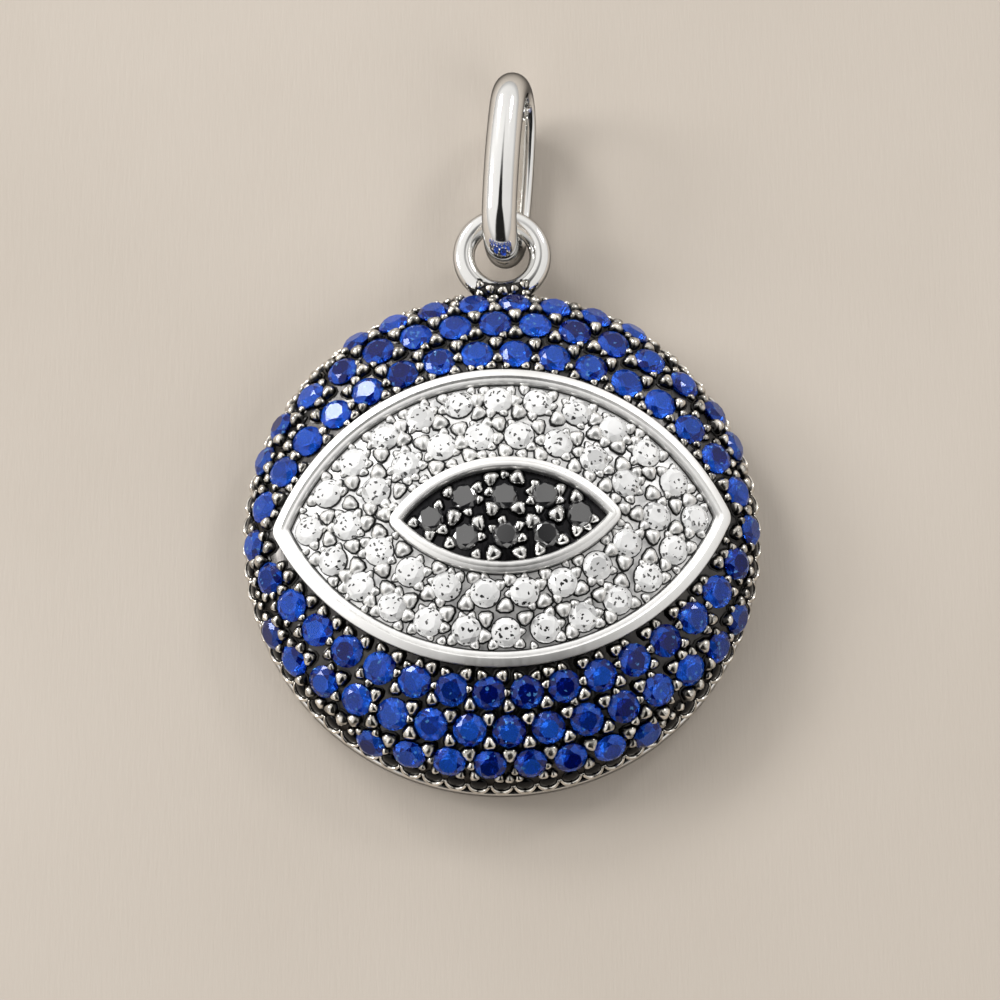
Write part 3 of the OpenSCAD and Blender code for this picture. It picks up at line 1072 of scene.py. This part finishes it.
def bail_wire():
    """The oval bail ring: two end arcs and two side arcs that run smoothly into each other."""
    ends, half = BAIL_LEN / 2 - BAIL_END_R, BAIL_HIGH / 2
    side_r = (ends ** 2 + half ** 2 - BAIL_END_R ** 2) / (2 * (half - BAIL_END_R))
    split = math.atan2(ends, side_r - half)
    quarter = math.pi / 2
    place = (Matrix.Translation((BAIL_X, BAIL_Y, BAIL_Z)) @ Matrix.Rotation(-BAIL_TILT, 4, "Y")
             @ Matrix.Rotation(quarter - BAIL_LEAN, 4, "Z") @ Matrix.Rotation(quarter, 4, "X"))
    # Middle, radius, start, end and steps of each arc
    arcs = [((ends, 0, 0), BAIL_END_R, split - quarter, quarter - split, 48),
            ((0, half - side_r, 0), side_r, quarter - split, quarter + split, 24),
            ((-ends, 0, 0), BAIL_END_R, quarter + split, 3 * math.pi / 2 - split, 48),
            ((0, side_r - half, 0), side_r, 3 * math.pi / 2 - split, 3 * math.pi / 2 + split, 24)]
    rings, section = [], bail_section()
    for middle, r, start, end, steps in arcs:
        for k in range(steps):
            out = around(start + (end - start) * k / steps)
            rings.append([place @ (Vector(middle) + out * (r - BAIL_W / 2 + u) + up(v))
                          for u, v in section])
    return swept("bail_wire", rings, smooth=50)


def line_section(wide=0.05):
    """A flat strip that starts inside the metal: (distance across, height) pairs."""
    return in_mm([(0, -0.1), (0, 0.012), (wide - 0.01, 0.012), (wide, -0.1)])


def painted_shade_lines(stones, lap=0.03):
    """Painted shade: dark strips on the white field along each band and round each stone, where
    shade falls beside them.

    A ring starts inside its stone's edge by lap, in millimetres.
    """
    lines = [band("line", EYE_R - EYE_BAND + 0.01 * MM, EYE_C, EYE_MID, line_section(),
                  EYE_NOSE - EYE_BAND),
             band("line", PUPIL_R + 0.05 * MM, PUPIL_C, PUPIL_MID, line_section(), PUPIL_NOSE)]
    for centre, axis, width in stones:
        turn = axis.to_track_quat("Z", "Y")
        foot = centre - axis * lap * MM
        rings = []
        for a in circle(28):
            out = turn @ around(a)
            rings.append([foot + out * (width / 2 - lap * MM + u) + axis * h
                          for u, h in line_section(0.075)])
        lines.append(swept("line", rings, smooth=40))
    return joined("white_field_lines", lines)


# Putting the pieces together

def finish_piece(obj, material, slot, *nodes):
    """Gives a piece its finish, if it has none, its body and the nodes it replaces. slot is not
    used.
    """
    if material is not None:
        obj.data.materials.clear()
        obj.data.materials.append(material)
    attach(obj, "root")
    if nodes:
        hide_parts(*nodes)


def build_metalwork(looks, blue, white, black):
    """The disc, the plates with their bands, the loop and the bail ring."""
    finish_piece(disc_body(blue), looks["dome"], "blackened_silver", "dome")
    finish_piece(foot_rim(), looks["rim"], "bright_silver")
    finish_piece(top_loop(), looks["silver"], "bright_silver")
    finish_piece(loop_root(), looks["dome"], "blackened_silver")
    finish_piece(white_field(white), looks["field"], "bright_silver", "eye_plate")
    finish_piece(eye_band(), looks["band"], "bright_silver")
    finish_piece(pupil_band(), looks["band"], "bright_silver")
    finish_piece(pupil_ground(black), looks["black"], "blackened_silver", "pupil_plate")
    finish_piece(bail_wire(), looks["silver"], "bright_silver", "bail_ring")
    # Dark strips that paint the shade round the white stones and beside the bands
    finish_piece(painted_shade_lines(white), looks["lines"], "blackened_silver")


def set_gems(tree, looks, stones, round_gem, flat_gem):
    """The three kinds of stones, each turned by chance about its axis."""
    blue, white, black = stones
    for name, places, shape, look, slot, cad_node, seed in (
            ("blue_gems", blue, round_gem, "blue", "blue_stone", "blue_stones", 11),
            ("white_gems", white, round_gem, "clear", "white_stone", "white_stones", 12),
            ("black_gems", black, flat_gem, "dark", "black_stone", "black_stones", 13)):
        made = spread(name, tree, gem_copies(places), shape, looks[look], seed,
                      spin=FULL_TURN, tilt=0.05)
        finish_piece(made, None, slot, cad_node)


def set_beads(tree, looks, stones, bead, scallop):
    """The beads of the three fields, and the row round the foot."""
    blue_beads, white_beads, black_beads = field_beads(*stones)
    for name, copies, look, slot, seed in (
            ("blue_field_beads", bead_copies(blue_beads, 1.1, 0.0) + root_copies(),
             "black_beads", "blackened_silver", 21),
            ("white_field_beads", bead_copies(white_beads, 1.0, 0.0),
             "silver_beads", "bright_silver", 22),
            ("pupil_beads", bead_copies(black_beads, 1.0, PUPIL_SUNK),
             "pupil_beads", "blackened_silver", 23)):
        made = spread(name, tree, copies, bead, looks[look], seed, spin=0.3, tilt=0.12)
        finish_piece(made, None, slot)
    made = spread("foot_beads", tree, foot_copies(), scallop, looks["foot_beads"], 24, spin=0.0)
    finish_piece(made, None, "blackened_silver")


def build(looks):
    """The whole pendant."""
    stones = [stone_places(n) for n in ("blue_stones", "white_stones", "black_stones")]
    tree = spread_tree()
    round_gem = brilliant("cut_gem", TABLE, CROWN_H)
    flat_gem = brilliant("flat_gem", FLAT_TABLE, FLAT_CROWN)
    bead, scallop = bead_shape("bead"), scallop_shape("scallop")
    build_metalwork(looks, *stones)
    set_gems(tree, looks, stones, round_gem, flat_gem)
    set_beads(tree, looks, stones, bead, scallop)
    for shape in (round_gem, flat_gem, bead, scallop):
        bpy.data.objects.remove(shape)


# Floor, light and camera

def floor(effects):
    """A plain pale floor under the pendant."""
    corners = [(x * FLOOR_HALF, y * FLOOR_HALF, FLOOR_Z)
               for x, y in ((-1, -1), (1, -1), (1, 1), (-1, 1))]
    obj = mesh_object("floor", corners, [(0, 1, 2, 3)])
    material, tree, shader = new_material("pale_floor", {"Roughness": 0.7})
    tones = placed(tree, effects["tones"], First=(0.44, 0.392, 0.34, 1),
                   Second=(0.41, 0.363, 0.312, 1), Size=40.0)
    marked(tree, shader, effects, tones["Color"], 500.0, 0.6, 0.8, 0.15, depth=0.0001)
    obj.data.materials.append(material)


def lights():
    """Soft lights round the pendant, all aimed at it."""
    for name, place, size, power, mirrored in LIGHTS:
        data = bpy.data.lights.new(name, "AREA")
        data.shape, data.size, data.size_y = "RECTANGLE", size[0], size[1]
        data.energy = power
        obj = in_scene(name, data)
        obj.location = place
        obj.rotation_euler = (-Vector(place)).to_track_quat("-Z", "Y").to_euler()
        obj.visible_glossy = mirrored


def world():
    """A pale room, bright to the left and behind, darker to the right, a dark gap in front."""
    made = bpy.data.worlds.new("studio")
    bpy.context.scene.world = made
    made.use_nodes = True
    tree = made.node_tree
    where = node(tree, "ShaderNodeTexCoord").outputs["Generated"]
    x, y, z = node(tree, "ShaderNodeSeparateXYZ", {"Vector": where}).outputs
    left = ramp(tree, x, -0.7, 0.9, 1.0, 0.84, "SMOOTHSTEP")
    behind = ramp(tree, y, -0.7, 0.6, 0.92, 1.0, "SMOOTHSTEP")
    low = ramp(tree, z, 0.0, 0.35, 0.6, 1.0, "SMOOTHSTEP")
    # The gap widens from under the camera to the horizon in front, and darkens on the way
    width = ramp(tree, y, -0.8, 0.5, 0.52, 0.07, "SMOOTHSTEP")
    aside = maths(tree, "ABSOLUTE", maths(tree, "ADD", x, -0.08))
    gap = ramp(tree, maths(tree, "DIVIDE", aside, width), 0.8, 1.15, 1.0, 0.0, "SMOOTHSTEP")
    front = ramp(tree, y, 0.1, 0.65, 0.98, 0.0, "SMOOTHSTEP")
    dark = maths(tree, "ADD", maths(tree, "MULTIPLY", gap, front), -1.0)
    lit = maths(tree, "MULTIPLY", maths(tree, "ABSOLUTE", dark), low)
    light = maths(tree, "MULTIPLY", maths(tree, "MULTIPLY", left, behind), lit)
    feed(tree, tree.nodes["Background"], {"Color": (1, 0.985, 0.965, 1), "Strength": light})


def camera():
    """The camera in the photo's place."""
    data = bpy.data.cameras.new("camera")
    data.sensor_width, data.lens = SENSOR, LENS
    data.clip_start, data.clip_end = 0.005, 10
    obj = in_scene("camera", data)
    obj.location, obj.rotation_euler = CAMERA_PLACE, (CAMERA_TILT, 0, 0)
    bpy.context.scene.camera = obj


camera()
shared = {"marks": polish_marks(), "tones": two_tone(), "specks": painted_reflection_specks()}
build(all_materials(shared))
floor(shared)
world()
lights()
bpy.context.scene.view_settings.view_transform = "Standard"
